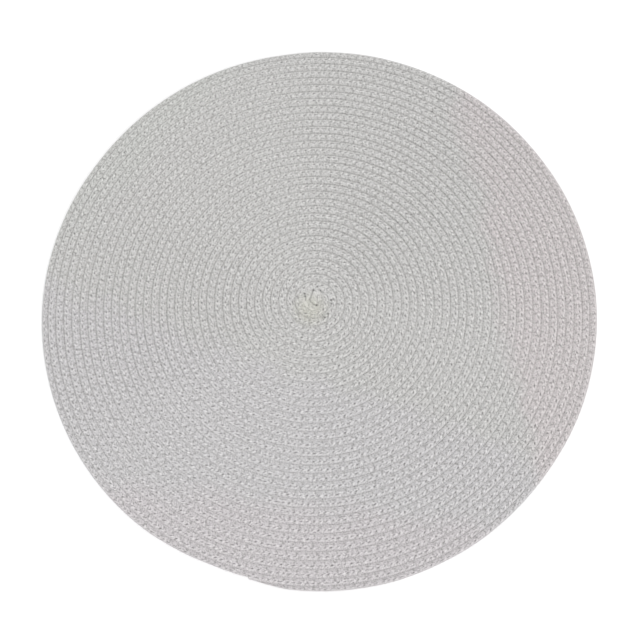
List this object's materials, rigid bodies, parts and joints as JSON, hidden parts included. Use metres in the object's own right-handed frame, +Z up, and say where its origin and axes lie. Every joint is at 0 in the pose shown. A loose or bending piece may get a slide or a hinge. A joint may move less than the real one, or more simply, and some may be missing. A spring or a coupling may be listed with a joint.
{
  "type": "round braided placemat",
  "caption": "Round flat placemat of plaited cord wound in a spiral and sewn row to row, with a curled middle and a tapered outer end.",
  "frame": {"origin": "middle of the spiral, on the flat underside", "axes": "+Z up out of the ribbed face, +Y towards the top of the picture, +X to its right"},
  "size_m": [0.3813, 0.3809, 0.0036],
  "materials": {
    "yarn": "matt pale grey plaited cotton-blend yarn, sewn with thread of the same colour"
  },
  "bodies": {
    "root": {"braided_mat": "yarn"}
  },
  "joints": []
}
